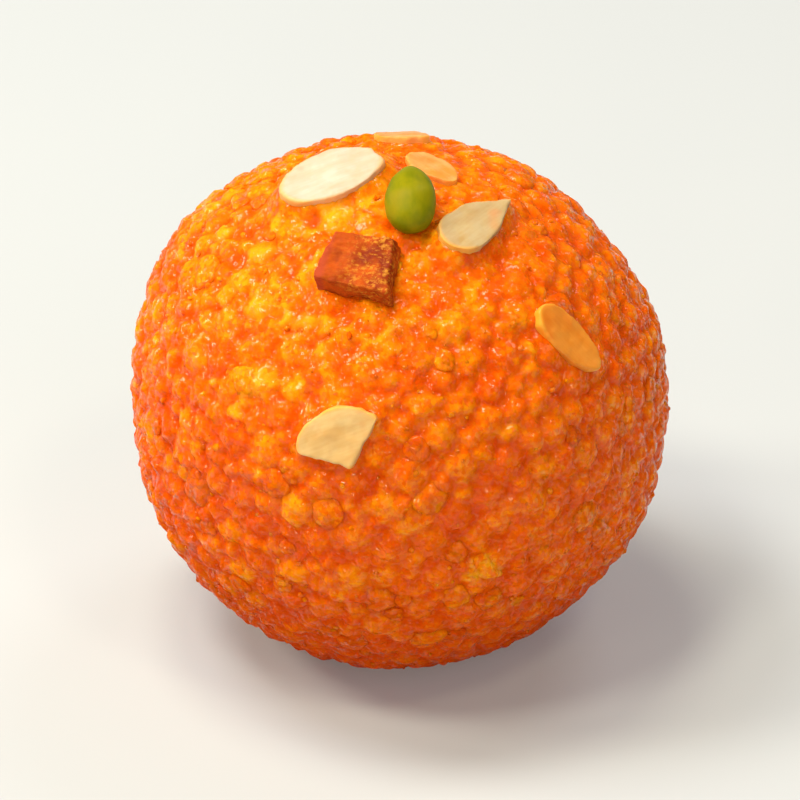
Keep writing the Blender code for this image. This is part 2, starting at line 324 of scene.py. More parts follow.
def pressingOutline(spec):
    return np.array([tuple(point) for point in flakeOutline(spec, pressing["outlineSides"])])


def pressUnder(points):
    # What lies where a topping is goes down under it, so that the boondi hug its rim
    for spec in (*flakes.values(), pistachio, almondChunk):
        inward = np.array(toppingPlace(spec).inverted())
        local = points @ inward[:3, :3].T + inward[:3, 3]
        half = np.array(spec["size"]) / 2
        under = np.full(len(points), -half[2])
        if spec is pistachio:
            share = 1 - (local[:, 0] / half[0]) ** 2 - (local[:, 1] / half[1]) ** 2
            under *= np.sqrt(np.maximum(share, 0))
            hit = share > pressing["kernelEdge"]
        elif spec is almondChunk:
            hit = (np.abs(local[:, 0]) < half[0]) & (np.abs(local[:, 1]) < half[1])
        else:
            hit = insideOutline(local[:, :2], pressingOutline(spec))
        under -= pressing["clear"]
        hit &= (local[:, 2] > under) & (local[:, 2] < pressing["above"])
        points[hit] += (under - local[:, 2])[hit][:, None] * inward[2, :3]
    return points


def addMarks(mesh, marks):
    # Named values for each point, which the materials read
    for name, values in marks.items():
        mark = mesh.attributes.new(name, "FLOAT", "POINT")
        mark.data.foreach_set("value", values.astype(np.float32))


def addMesh(name, points, faces, marks):
    # A piece from arrays
    mesh = bpy.data.meshes.new(name)
    mesh.vertices.add(len(points))
    mesh.vertices.foreach_set("co", points.astype(np.float32).ravel())
    mesh.loops.add(faces.size)
    mesh.loops.foreach_set("vertex_index", faces.astype(np.int32).ravel())
    mesh.polygons.add(len(faces))
    mesh.polygons.foreach_set("loop_start", np.arange(0, faces.size, 3, dtype=np.int32))
    mesh.update(calc_edges=True)
    addMarks(mesh, marks)
    mesh.shade_smooth()
    piece = bpy.data.objects.new(name, mesh)
    bpy.context.scene.collection.objects.link(piece)
    return piece


def finishPiece(piece, material, slot, *nodes):
    piece.data.materials.clear()
    piece.data.materials.append(material)
    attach(piece, "root")
    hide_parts(*nodes)


# Finishes, all made of nodes
def srgb(red, green, blue):
    # A colour as the eye reads it, 0 to 255, for a socket
    levels = [level / 255 for level in (red, green, blue)]
    return (*[v / 12.92 if v <= 0.04045 else ((v + 0.055) / 1.055) ** 2.4 for v in levels], 1)


def feed(tree, node, inputs):
    # Each input takes a value, or a link from another node's output
    for place, value in inputs.items():
        if isinstance(value, bpy.types.NodeSocket):
            tree.links.new(value, node.inputs[place])
        else:
            node.inputs[place].default_value = value


def addNode(tree, kind, inputs, output, **settings):
    node = tree.nodes.new(kind)
    for name, value in settings.items():
        setattr(node, name, value)
    feed(tree, node, inputs)
    return node.outputs[output]


def addCoords(tree):
    return addNode(tree, "ShaderNodeTexCoord", {}, "Object")


def addMark(tree, name, output="Fac"):
    return addNode(tree, "ShaderNodeAttribute", {}, output, attribute_name=name)


def addNoise(tree, vector, scale, detail, roughness=0.6):
    inputs = {"Vector": vector, "Scale": scale, "Detail": detail, "Roughness": roughness}
    return addNode(tree, "ShaderNodeTexNoise", inputs, "Fac")


def addRange(tree, value, low, high, toLow=0.0, toHigh=1.0):
    inputs = {
        "Value": value, "From Min": low, "From Max": high, "To Min": toLow, "To Max": toHigh,
    }
    return addNode(tree, "ShaderNodeMapRange", inputs, "Result")


def addMath(tree, operation, first, second):
    return addNode(tree, "ShaderNodeMath", {0: first, 1: second}, "Value", operation=operation)


def addVectorMath(tree, operation, *values):
    inputs = dict(enumerate(values))
    return addNode(tree, "ShaderNodeVectorMath", inputs, "Vector", operation=operation)


def addSplit(tree, vector, axis):
    return addNode(tree, "ShaderNodeSeparateXYZ", {"Vector": vector}, axis)


def addMix(tree, share, first, second):
    # The places of a Mix node's inputs and output for colours
    return addNode(
        tree, "ShaderNodeMix", {0: share, 6: first, 7: second}, 2, data_type="RGBA"
    )


def newGroup(name, inputs, outputs):
    group = bpy.data.node_groups.new(name, "ShaderNodeTree")
    for socketName, kind, value in inputs:
        socket = group.interface.new_socket(socketName, in_out="INPUT", socket_type=kind)
        socket.default_value = value
    for socketName in outputs:
        group.interface.new_socket(
            socketName, in_out="OUTPUT", socket_type="NodeSocketFloat"
        )
    return group, group.nodes.new("NodeGroupInput"), group.nodes.new("NodeGroupOutput")


def addGroup(tree, group, inputs):
    node = tree.nodes.new("ShaderNodeGroup")
    node.node_tree = group
    feed(tree, node, inputs)
    return node.outputs


def newMaterial(name):
    material = bpy.data.materials.new(name)
    material.use_nodes = True
    return material, material.node_tree, material.node_tree.nodes["Principled BSDF"]


middling = (0.3, 0.7)  # what a noise mostly keeps between

syrup = {
    "drop": 0.45 * mm,
    "domeReach": 0.8,  # of a drop's dome, over its size
    "domeShare": 0.5,
    "fineScale": 0.8,  # of the lumps between the drops, over one drop
    "fineRoughness": 0.65,
    "spotScale": 0.9,
    "spotRoughness": 0.5,
    "detail": 2.0,
}


def buildSyrup():
    # The wet film: fine lumps as a height for the bump, and the spots where it lies thick
    group, given, out = newGroup(
        "syrupFilm", [("Drop Size", "NodeSocketFloat", syrup["drop"])], ["Height", "Wet"]
    )
    coords = addCoords(group)
    perDrop = addMath(group, "DIVIDE", 1.0, given.outputs["Drop Size"])
    inputs = {"Vector": coords, "Scale": perDrop}
    apart = addNode(group, "ShaderNodeTexVoronoi", inputs, "Distance")
    domed = addRange(group, apart, 0.0, syrup["domeReach"], 1.0, 0.0)
    fineScale = addMath(group, "MULTIPLY", perDrop, syrup["fineScale"])
    fine = addNoise(group, coords, fineScale, syrup["detail"], syrup["fineRoughness"])
    height = addMath(group, "ADD", addMath(group, "MULTIPLY", domed, syrup["domeShare"]), fine)
    spotScale = addMath(group, "MULTIPLY", perDrop, syrup["spotScale"])
    wet = addNoise(group, coords, spotScale, syrup["detail"], syrup["spotRoughness"])
    feed(group, out, {"Height": height, "Wet": wet})
    return group


syrupFilm = buildSyrup()

boondiFinish = {
    "deep": srgb(222, 78, 0),
    "middle": srgb(234, 102, 1),
    "middleAt": 0.42,  # tone from 0, the deepest, to 1, the palest
    "bright": srgb(242, 130, 3),
    "brightAt": 0.75,
    "pale": srgb(248, 154, 14),
    "cloudScale": 700.0,
    "cloudDetail": 2.0,
    "cloudShift": 0.24,  # how far soft clouds move the tone, and how far the facets do
    "facetShift": 0.2,
    # painted shade: the creases between the boondi, darker and redder the deeper they lie
    "creaseShade": srgb(208, 66, 0),
    "creaseDepth": (0.3 * mm, 0.8 * mm),  # below the skin, where the colour turns to the painted crease shade
    "low": srgb(180, 48, 0),  # painted shade: darker and redder towards the floor
    "lowShadeHeight": 17.0 * mm,
    "lowShadeShare": 0.85,
    "specular": 0.02,
    "roughness": (0.7, 0.45),
    "coatRoughness": 0.12,
    "coatIor": 1.3,
    "coatHeight": (4.0 * mm, 24.0 * mm),  # down from the upper, the film breaks up into spots
    "drierLow": 0.14,
    "wetEdge": (0.41, 0.48),  # the film starts at the first and is whole at the second
    "facet": 0.36 * mm,
    "facetStray": 0.34 * mm,
    "facetDetail": 1.0,
    "skinTilt": 0.34,  # how far the facets lean
    "filmTilt": 0.8,
    "subsurface": 0.65,
    "subsurfaceByColour": (1.0, 0.32, 0.06),
    "subsurfaceReach": 1.0 * mm,
    "bump": 0.06 * mm,
}


def addFacets(tree, coords):
    # Crumbs and crystals as small facets: the way that each leans, and a number of its own
    scale, stray = 1 / boondiFinish["facet"], boondiFinish["facetStray"]
    inputs = {"Vector": coords, "Scale": scale, "Detail": boondiFinish["facetDetail"]}
    warp = addNode(tree, "ShaderNodeTexNoise", inputs, "Color")
    strayed = addVectorMath(tree, "MULTIPLY_ADD", warp, (stray,) * 3, coords)
    inputs = {"Vector": strayed, "Scale": scale}
    cells = addNode(tree, "ShaderNodeTexVoronoi", inputs, "Color")
    return addVectorMath(tree, "SUBTRACT", cells, (0.5,) * 3), addSplit(tree, cells, "X")


def leanNormal(tree, lean, tilt):
    plain = addNode(tree, "ShaderNodeNewGeometry", {}, "Normal")
    leant = addVectorMath(tree, "MULTIPLY_ADD", lean, (tilt,) * 3, plain)
    return addVectorMath(tree, "NORMALIZE", leant)


def boondiMaterial(name):
    # Orange boondi: each has its own tone, and the creases between them are painted darker and
    # redder as painted shade
    material, tree, shader = newMaterial(name)
    coords = addCoords(tree)
    film = addGroup(tree, syrupFilm, {"Drop Size": syrup["drop"]})
    lean, own = addFacets(tree, coords)
    cloud = addNoise(tree, coords, boondiFinish["cloudScale"], boondiFinish["cloudDetail"])
    shift = boondiFinish["cloudShift"]
    cloud = addRange(tree, cloud, *middling, -shift, shift)
    shift = boondiFinish["facetShift"]
    facets = addRange(tree, own, 0.0, 1.0, -shift, shift)
    tone = addMath(tree, "ADD", addMark(tree, "tone"), addMath(tree, "ADD", cloud, facets))
    ramp = tree.nodes.new("ShaderNodeValToRGB")
    stops = ramp.color_ramp.elements
    stops[0].color, stops[1].color = boondiFinish["deep"], boondiFinish["pale"]
    stops.new(boondiFinish["middleAt"]).color = boondiFinish["middle"]
    stops.new(boondiFinish["brightAt"]).color = boondiFinish["bright"]
    feed(tree, ramp, {"Fac": tone})
    # painted shade: deeper in the creases, the colour turns darker and redder
    creaseShade = addRange(tree, addMark(tree, "sunkIn"), *boondiFinish["creaseDepth"])
    colour = addMix(tree, creaseShade, ramp.outputs["Color"], boondiFinish["creaseShade"])
    height = addSplit(tree, coords, "Z")
    # painted shade: the colour turns darker and redder towards the floor
    low = addRange(tree, height, 0.0, boondiFinish["lowShadeHeight"], boondiFinish["lowShadeShare"], 0.0)
    drier = addRange(tree, height, *boondiFinish["coatHeight"], boondiFinish["drierLow"], 0.0)
    wet = addMath(tree, "SUBTRACT", film["Wet"], drier)
    bump = {
        "Height": film["Height"],
        "Distance": boondiFinish["bump"],
        "Normal": leanNormal(tree, lean, boondiFinish["skinTilt"]),
    }
    shader.subsurface_method = "BURLEY"
    feed(tree, shader, {
        "Base Color": addMix(tree, low, colour, boondiFinish["low"]),
        "Roughness": addRange(tree, own, 0.0, 1.0, *boondiFinish["roughness"]),
        "Specular IOR Level": boondiFinish["specular"],
        "Normal": addNode(tree, "ShaderNodeBump", bump, "Normal"),
        "Subsurface Weight": boondiFinish["subsurface"],
        "Subsurface Radius": boondiFinish["subsurfaceByColour"],
        "Subsurface Scale": boondiFinish["subsurfaceReach"],
        "Coat Weight": addRange(tree, wet, *boondiFinish["wetEdge"]),
        "Coat Roughness": boondiFinish["coatRoughness"],
        "Coat IOR": boondiFinish["coatIor"],
        "Coat Normal": leanNormal(tree, lean, boondiFinish["filmTilt"]),
    })
    return material


boondiOrange = boondiMaterial("boondiOrange")


def buildNutGrain():
    # Fine lines along a nut, and blotches over them
    group, given, out = newGroup(
        "nutGrain",
        [
            ("Stretch", "NodeSocketVector", (1.0, 1.0, 1.0)),
            ("Turn", "NodeSocketVector", (0.0, 0.0, 0.0)),
            ("Line Detail", "NodeSocketFloat", 3.0),
            ("Line Roughness", "NodeSocketFloat", 0.6),
            ("Blotch Scale", "NodeSocketFloat", 420.0),
            ("Blotch Detail", "NodeSocketFloat", 3.0),
        ],
        ["Lines", "Blotch"],
    )
    inputs = {
        "Vector": addMark(group, "flat", "Vector"),
        "Rotation": given.outputs["Turn"],
        "Scale": given.outputs["Stretch"],
    }
    along = addNode(group, "ShaderNodeMapping", inputs, "Vector")
    detail, roughness = given.outputs["Line Detail"], given.outputs["Line Roughness"]
    blotch = addNoise(
        group, addCoords(group), given.outputs["Blotch Scale"], given.outputs["Blotch Detail"]
    )
    feed(group, out, {"Lines": addNoise(group, along, 1.0, detail, roughness), "Blotch": blotch})
    return group


nutGrain = buildNutGrain()


def addBump(tree, height, strength, distance):
    inputs = {"Height": height, "Strength": strength, "Distance": distance}
    return addNode(tree, "ShaderNodeBump", inputs, "Normal")


nutFinish = {
    "nutIvory": {"flesh": srgb(212, 193, 184), "shadow": srgb(206, 177, 156), "syrup": 0.0},
    "nutCream": {"flesh": srgb(192, 168, 128), "shadow": srgb(180, 146, 96), "syrup": 0.1},
    "nutTan": {"flesh": srgb(226, 190, 134), "shadow": srgb(216, 170, 108), "syrup": 0.1},
    "nutPeach": {"flesh": srgb(232, 166, 106), "shadow": srgb(228, 138, 58), "syrup": 0.2},
    "nutGlazed": {"flesh": srgb(234, 150, 56), "shadow": srgb(226, 132, 36), "syrup": 0.3},
}
nutSurface = {
    "grain": {"Stretch": (260.0, 1900.0, 900.0)},
    "shadowEdge": (0.38, 0.62),
    "syrupTint": srgb(228, 108, 12),
    "syrupScale": 240.0,
    "syrupDetail": 2.0,
    "syrupEdge": (0.62, 0.75),  # the first comes down with the finish's own syrup
    "syrupShare": 0.55,
    "rimTint": srgb(242, 168, 52),  # light shines through the thin edge, golden from behind it
    "rimEdge": (0.88, 1.0),
    "rimShare": 0.75,
    "bump": (0.7, 0.05 * mm),  # strength and depth
    "roughness": (0.5, 0.3),
}


def nutMaterial(name):
    # Sliced almond: fine lines along its length, syrup in patches and a golden rim
    spec = nutFinish[name]
    material, tree, shader = newMaterial(name)
    grain = addGroup(tree, nutGrain, nutSurface["grain"])
    half = [addMath(tree, "MULTIPLY", grain[part], 0.5) for part in ("Lines", "Blotch")]
    both = addMath(tree, "ADD", *half)
    shadow = addRange(tree, both, *nutSurface["shadowEdge"])
    colour = addMix(tree, shadow, spec["flesh"], spec["shadow"])
    wet = addNoise(tree, addCoords(tree), nutSurface["syrupScale"], nutSurface["syrupDetail"])
    start, full = nutSurface["syrupEdge"]
    wet = addRange(tree, wet, start - spec["syrup"] * 0.5, full)
    wet = addMath(tree, "MULTIPLY", wet, nutSurface["syrupShare"])
    colour = addMix(tree, wet, colour, nutSurface["syrupTint"])
    rim = addRange(
        tree, addMark(tree, "rim"), *nutSurface["rimEdge"], 0.0, nutSurface["rimShare"]
    )
    feed(tree, shader, {
        "Base Color": addMix(tree, rim, colour, nutSurface["rimTint"]),
        "Roughness": addRange(tree, grain["Blotch"], *middling, *nutSurface["roughness"]),
        "Specular IOR Level": 0.25,
        "Normal": addBump(tree, both, *nutSurface["bump"]),
        "Subsurface Weight": 0.25,
        "Subsurface Radius": (1.0, 0.6, 0.3),
        "Subsurface Scale": 0.8 * mm,
    })
    return material


pistachioFinish = {
    "light": srgb(138, 132, 5),
    "middle": srgb(116, 120, 4),
    "middleEdge": (0.35, 0.65),
    "dark": srgb(80, 96, 3),
    "darkEdge": (0.5, 0.75),
    "warm": srgb(156, 134, 14),
    "warmEdge": (0.42, 0.28),
    "warmShare": 0.5,
    "grain": {
        "Stretch": (220.0, 800.0, 800.0), "Line Detail": 4.0,
        "Blotch Scale": 300.0, "Blotch Detail": 2.0,
    },
    "bump": (0.6, 0.05 * mm),
    "roughness": (0.5, 0.36),
}


def pistachioMaterial():
    material, tree, shader = newMaterial("pistachioGreen")
    grain = addGroup(tree, nutGrain, pistachioFinish["grain"])
    streaks, blotch = grain["Lines"], grain["Blotch"]
    middle = addRange(tree, streaks, *pistachioFinish["middleEdge"])
    colour = addMix(tree, middle, pistachioFinish["light"], pistachioFinish["middle"])
    dark = addRange(tree, blotch, *pistachioFinish["darkEdge"])
    colour = addMix(tree, dark, colour, pistachioFinish["dark"])
    warm = addRange(
        tree, blotch, *pistachioFinish["warmEdge"], 0.0, pistachioFinish["warmShare"]
    )
    feed(tree, shader, {
        "Base Color": addMix(tree, warm, colour, pistachioFinish["warm"]),
        "Roughness": addRange(tree, blotch, *middling, *pistachioFinish["roughness"]),
        "Specular IOR Level": 0.08,
        "Normal": addBump(tree, streaks, *pistachioFinish["bump"]),
        "Subsurface Weight": 0.15,
        "Subsurface Radius": (0.6, 1.0, 0.2),
        "Subsurface Scale": 0.8 * mm,
    })
    return material


chunkFinish = {
    "skin": srgb(186, 76, 16),
    "dark": srgb(132, 42, 12),
    "darkEdge": (0.4, 0.65),
    "fibre": srgb(210, 138, 44),
    "fibreEdge": (0.4, 0.6),
    "speckScale": 2900.0,
    "speckDetail": 2.0,
    "speckRoughness": 0.7,
    "speckEdge": (0.45, 0.6),
    "rubbedEdge": (-1.6 * mm, 0.4 * mm),  # along the chunk, from its skin to where it is rubbed
    "rubbedShare": (0.1, 0.85),
    "pink": srgb(176, 68, 36),  # its left side
    "pinkEdge": (-2.3 * mm, -2.7 * mm),
    "grain": {
        "Stretch": (700.0, 2600.0, 1500.0), "Turn": (0.0, 0.0, math.radians(-38)),
        "Line Roughness": 0.7,
    },
    "bump": (0.9, 0.1 * mm),
    "roughness": (0.6, 0.4),
}


def chunkMaterial():
    # Almond skin: dark brown, with lighter fibres where it is rubbed
    material, tree, shader = newMaterial("almondSkin")
    grain = addGroup(tree, nutGrain, chunkFinish["grain"])
    fibres, blotch = grain["Lines"], grain["Blotch"]
    dark = addRange(tree, blotch, *chunkFinish["darkEdge"])
    colour = addMix(tree, dark, chunkFinish["skin"], chunkFinish["dark"])
    specks = addNoise(
        tree, addCoords(tree), chunkFinish["speckScale"], chunkFinish["speckDetail"],
        chunkFinish["speckRoughness"],
    )
    lit = addRange(tree, fibres, *chunkFinish["fibreEdge"])
    gold = addMath(tree, "MULTIPLY", lit, addRange(tree, specks, *chunkFinish["speckEdge"]))
    along = addSplit(tree, addMark(tree, "flat", "Vector"), "X")
    rubbed = addRange(tree, along, *chunkFinish["rubbedEdge"], *chunkFinish["rubbedShare"])
    gold = addMath(tree, "MULTIPLY", gold, rubbed)
    colour = addMix(tree, gold, colour, chunkFinish["fibre"])
    pink = addRange(tree, along, *chunkFinish["pinkEdge"])
    height = addMath(tree, "ADD", fibres, blotch)
    feed(tree, shader, {
        "Base Color": addMix(tree, pink, colour, chunkFinish["pink"]),
        "Roughness": addRange(tree, blotch, *middling, *chunkFinish["roughness"]),
        "Specular IOR Level": 0.06,
        "Normal": addBump(tree, height, *chunkFinish["bump"]),
    })
    return material


print("finishes made")


def applyAll(piece):
    deselectAll()
    piece.select_set(True)
    bpy.context.view_layer.objects.active = piece
    for modifier in list(piece.modifiers):
        bpy.ops.object.modifier_apply(modifier=modifier.name)


def addTexture(name, size, depth):
    texture = bpy.data.textures.new(name, "CLOUDS")
    texture.noise_scale = size
    texture.noise_depth = depth
    return texture


def addDisplace(piece, texture, strength):
    modifier = piece.modifiers.new("displace", "DISPLACE")
    modifier.texture = texture
    modifier.texture_coords = "LOCAL"
    modifier.strength = strength
    modifier.mid_level = 0.5


def readPoints(piece):
    points = np.zeros(len(piece.data.vertices) * 3, np.float32)
    piece.data.vertices.foreach_get("co", points)
    return points.reshape(-1, 3).astype(float)


def crispness(ways):
    # 1 on the side where the boondi are finer and more varied, 0 opposite
    return 0.5 + 0.5 * ways @ np.array(wayOut(*boondi["crispWay"]))


def chooseBoondi():
    # All the boondi of the skin: direction, radius, depth of the crown and tone of each
    ways, radii, sunk = scatterBoondi()
    even = boondi["toneEven"]
    tones = np.random.default_rng(boondi["seed"] + 4).beta(even, even, len(radii))
    least, most = boondi["toneSpread"]
    tones = 0.5 + (tones - 0.5) * (least + (most - least) * crispness(ways))
    # painted shade: the lower boondi get deeper tones
    tones -= boondi["lowShadeDeeper"] * (0.5 - 0.5 * ways[:, 2])
    # painted light: paler, more golden tones on the side the lamps light most
    litSide = np.maximum(ways @ np.array(wayOut(*boondi["litSideWay"])), 0)
    tones += boondi["litSideRise"] * litSide ** boondi["litSideFocus"]
    for bearing, height, radius, tone in boondi["paleOnes"]:
        ways = np.vstack([ways, wayOut(bearing, height)])
        radii, sunk, tones = np.append(radii, radius), np.append(sunk, 0.0), np.append(tones, tone)
    return ways, radii, sunk, tones


skinGrains = chooseBoondi()

# The core, one skin of pressed boondi whose crowns run softly together
core = {
    "subdivisions": 3,
    "cuts": 23,
    "crown": 0.36,  # how much deeper a boondi's edge lies than its crown, over its radius
    "blend": 0.06 * mm,
    "pebble": 0.3 * mm,  # depth of the creases between the finest ones
    "pebbleSize": 0.9 * mm,
    "softSide": 0.15,  # share of the fine relief opposite the crisp side
    "creaseDepth": 0.6 * mm,  # the deepest ones
    "warp": 0.5 * mm,  # how far the boondi's outlines stray
    "warpSize": 1.1 * mm,
    "crinkle": 0.14 * mm,
    "crinkleSize": 0.6 * mm,
    "atOnce": 4000,
    "bank": 0.5 * mm,  # the boondi squeezed up against a topping's rim reach this near its top
    "bankSlope": 1.1,
    "bankInside": 0.4 * mm,  # from this far in, the flake has pressed the skin down under it
    "bankBelow": 3.0 * mm,  # what is deeper under a flake's middle than this is left alone
    "base": 0.1 * mm,
}


def blendCrowns(ways, grains):
    # Depth below the boondi's tops and tone, for many directions
    middles, radii, sunk, tones = grains
    depths, shades = np.empty(len(ways)), np.empty(len(ways))
    for start in range(0, len(ways), core["atOnce"]):
        part = slice(start, start + core["atOnce"])
        apart = np.sqrt(np.maximum(2 - 2 * ways[part] @ middles.T, 0)) * ballRadius
        crowns = sunk + core["crown"] * apart**2 / radii
        least = crowns.min(axis=1)[:, None]
        weights = np.exp(-(crowns - least) / core["blend"])
        floors = np.exp(-(core["creaseDepth"] - least[:, 0]) / core["blend"])
        depths[part] = least[:, 0] - core["blend"] * np.log(weights.sum(axis=1) + floors)
        shades[part] = (weights**2 @ tones) / (weights**2).sum(axis=1)
    return depths, shades


def bankUp(points):
    # Boondi squeezed up around the flakes
    for spec in flakes.values():
        place = np.array(toppingPlace(spec))
        inward = np.linalg.inv(place)
        local = points @ inward[:3, :3].T + inward[:3, 3]
        near = np.hypot(local[:, 0], local[:, 1]) < spec["size"][0]
        near &= local[:, 2] > -core["bankBelow"]
        flat = local[near]
        outline = pressingOutline(spec)
        apart = np.sqrt(((flat[:, None, :2] - outline[None]) ** 2).sum(axis=2)).min(axis=1)
        inside = insideOutline(flat[:, :2], outline)
        rim = spec["size"][2] / 2 - core["bank"]
        bank = np.where(inside, rim, rim - apart * core["bankSlope"])
        raised = np.maximum(flat[:, 2], bank)
        deep = inside & (apart > core["bankInside"])
        flat[:, 2] = np.where(deep, -spec["size"][2] / 2, raised)
        points[near] = flat @ place[:3, :3].T + place[:3, 3]
    return points


def addCore():
    deselectAll()
    bpy.ops.mesh.primitive_ico_sphere_add(subdivisions=core["subdivisions"], radius=1.0)
    piece = bpy.context.active_object
    piece.name = piece.data.name = "pressedBoondi"
    bpy.ops.object.mode_set(mode="EDIT")
    bpy.ops.mesh.select_all(action="SELECT")
    bpy.ops.mesh.subdivide(number_cuts=core["cuts"])
    bpy.ops.object.mode_set(mode="OBJECT")
    ways = readPoints(piece)
    ways /= np.linalg.norm(ways, axis=1)[:, None]
    places = (ways * ballRadius / core["warpSize"]).tolist()
    strays = np.array([noise.noise_vector(p) for p in places]) * core["warp"] / ballRadius
    strayed = ways + strays
    strayed /= np.linalg.norm(strayed, axis=1)[:, None]
    depths, tones = blendCrowns(strayed, skinGrains)
    crisp = core["softSide"] + (1 - core["softSide"]) * crispness(ways)
    places = (strayed * ballRadius / core["pebbleSize"]).tolist()
    depths += np.array([noise.voronoi(p)[0][0] for p in places]) ** 2 * core["pebble"] * crisp
    depths += noiseAt(ways * ballRadius / core["crinkleSize"]) * core["crinkle"] * crisp
    points = bankUp(skinPoints(ways, depths))
    points[:, 2] = np.maximum(points[:, 2], core["base"])
    piece.data.vertices.foreach_set("co", points.astype(np.float32).ravel())
    addMarks(piece.data, {"tone": tones, "sunkIn": depths})
    piece.data.shade_smooth()
    finishPiece(piece, boondiOrange, "boondi_orange", "ladoo")
    return piece


bed = addCore()
print("core made")

# The boondi that stand out of the skin, by kind: lowest and highest tone, fine mesh or not
looseKinds = {
    "looseDeep": (-1.0, 0.5, True),
    "looseGolden": (0.5, 2.0, True),
    "looseSmall": (-1.0, 2.0, False),
}
loose = {
    "everyFine": 24,  # one in so many of the larger ones
    "everySmall": 10,
    "fineCuts": 4,
    "smallCuts": 3,
    "standOut": -0.09 * mm,
    "paleStandOut": 0.0,
    "lowest": (0.0, 0.1 * mm),  # they end this high above the floor
    "toneMiddle": 0.45,
    "toneShare": 0.8,  # they differ less in tone than the boondi of the skin
}


def addLoose():
    ways, radii, sunk, tones = skinGrains
    levels = np.random.default_rng(boondi["seed"] + 5).uniform(*loose["lowest"], len(radii))
    fineUnit, plainUnit = unitGrain(loose["fineCuts"]), unitGrain(loose["smallCuts"])
    pale = len(radii) - len(boondi["paleOnes"])
    for name, (low, high, fine) in looseKinds.items():
        unit, unitFaces = fineUnit if fine else plainUnit
        every = loose["everyFine"] if fine else loose["everySmall"]
        points, faces, toneMarks, sunkMarks = [], [], [], []
        for index in range(len(radii)):
            isFine = radii[index] >= boondi["fineAbove"]
            chosen = index % every == 0 or index >= pale
            if isFine != fine or not chosen or not low <= tones[index] < high:
                continue
            grainWays, depth = pressedGrain(index, ways, radii, sunk, unit)
            standOut = loose["paleStandOut"] if index >= pale else loose["standOut"]
            grain = skinPoints(grainWays, depth - standOut)
            grain[:, 2] = np.maximum(grain[:, 2], levels[index])
            faces.append(unitFaces + sum(map(len, points)))
            points.append(grain)
            tone = loose["toneShare"] * (tones[index] - 0.5) + loose["toneMiddle"]
            toneMarks.append(np.full(len(grain), tones[index] if index >= pale else tone))
            sunkMarks.append(np.maximum(depth, 0))
        print(name, len(points), "grains", sum(map(len, faces)), "faces")
        piece = addMesh(
            name, pressUnder(np.concatenate(points)), np.concatenate(faces),
            {"tone": np.concatenate(toneMarks), "sunkIn": np.concatenate(sunkMarks)},
        )
        finishPiece(piece, boondiOrange, "boondi_orange", "ladoo")


addLoose()
print("boondi made")

# Crumbs of boondi and flecks of crystallised syrup, stuck over the others
crumbs = {
    "count": 900,
    "radius": (0.14 * mm, 0.32 * mm),
    "standOut": (-0.8, -0.4),  # of the middle from the bed, in radii
    "stretch": 0.4,
    "lumps": 0.3,  # over the radius
    "lumpGrain": 1.5,
    "noiseStep": 5.1,
    "tones": (0.3, 0.65),
    "cuts": 2,
    "seed": 23,
}


def addCrumbs():
    unit, unitFaces = unitGrain(crumbs["cuts"])
    draw = np.random.default_rng(crumbs["seed"])
    spots = readPoints(bed)
    points, faces, tones = [], [], []
    for index, spot in enumerate(spots[draw.integers(0, len(spots), crumbs["count"])]):
        way = spot - np.array(ballCentre)
        way /= np.linalg.norm(way)
        if spot[2] < crumbs["radius"][1]:
            continue
        radius = draw.uniform(*crumbs["radius"])
        squash = 1 + draw.uniform(-1, 1, 3) * crumbs["stretch"]
        lumps = noiseAt(unit * crumbs["lumpGrain"] + index * crumbs["noiseStep"])
        grain = unit * squash * (radius * (1 + crumbs["lumps"] * lumps))[:, None]
        grain += spot + way * radius * draw.uniform(*crumbs["standOut"])
        faces.append(unitFaces + len(unit) * len(points))
        points.append(grain)
        tones.append(np.full(len(grain), draw.uniform(*crumbs["tones"])))
    points = pressUnder(np.concatenate(points))
    marks = {"tone": np.concatenate(tones), "sunkIn": np.zeros(len(points))}
    piece = addMesh("crumbs", points, np.concatenate(faces), marks)
    finishPiece(piece, boondiOrange, "boondi_orange", "ladoo")


addCrumbs()
print("crumbs made")


# The nuts, each shaped flat and then set down on the ball
def markFlat(piece, halfSize, roundness):
    # Keeps each point's place on the nut before it is set down, and how near the rim it is
    points = readPoints(piece).astype(np.float32)
    flat = piece.data.attributes.new("flat", "FLOAT_VECTOR", "POINT")
    flat.data.foreach_set("vector", points.ravel())
    share = (np.abs(points[:, :2]) / np.array(halfSize[:2])) ** roundness
    addMarks(piece.data, {"rim": share.sum(axis=1) ** (1 / roundness)})


def setDown(piece, spec):
    piece.matrix_world = toppingPlace(spec)
    deselectAll()
    piece.select_set(True)
    bpy.context.view_layer.objects.active = piece
    bpy.ops.object.transform_apply(location=True, rotation=True, scale=True)


nutMaking = {
    "voxel": 0.13 * mm,
    "smoothing": 5,
    "ragged": 0.14 * mm,  # how far a cut edge strays
    "raggedSize": 0.8 * mm,
    "waveSize": 3.0 * mm,
    "pitSize": 0.8 * mm,
    "flakeRelief": (0.4 * mm, 0.1 * mm),  # depth of the waves and of the pits
    "outlineSides": 72,
    "doubles": 0.005 * mm,
}
waves = addTexture("waves", nutMaking["waveSize"], 1)
pits = addTexture("pits", nutMaking["pitSize"], 2)


def softenCuts(piece, smoothing):
    # An even fine mesh with its sharp edges rounded off
    remesh = piece.modifiers.new("remesh", "REMESH")
    remesh.mode = "VOXEL"
    remesh.voxel_size = nutMaking["voxel"]
    soften = piece.modifiers.new("soften", "SMOOTH")
    soften.factor = 0.5
    soften.iterations = smoothing
    applyAll(piece)


def addRelief(piece, wave, pit):
    addDisplace(piece, waves, wave)
    addDisplace(piece, pits, pit)
    applyAll(piece)
    piece.data.shade_smooth()


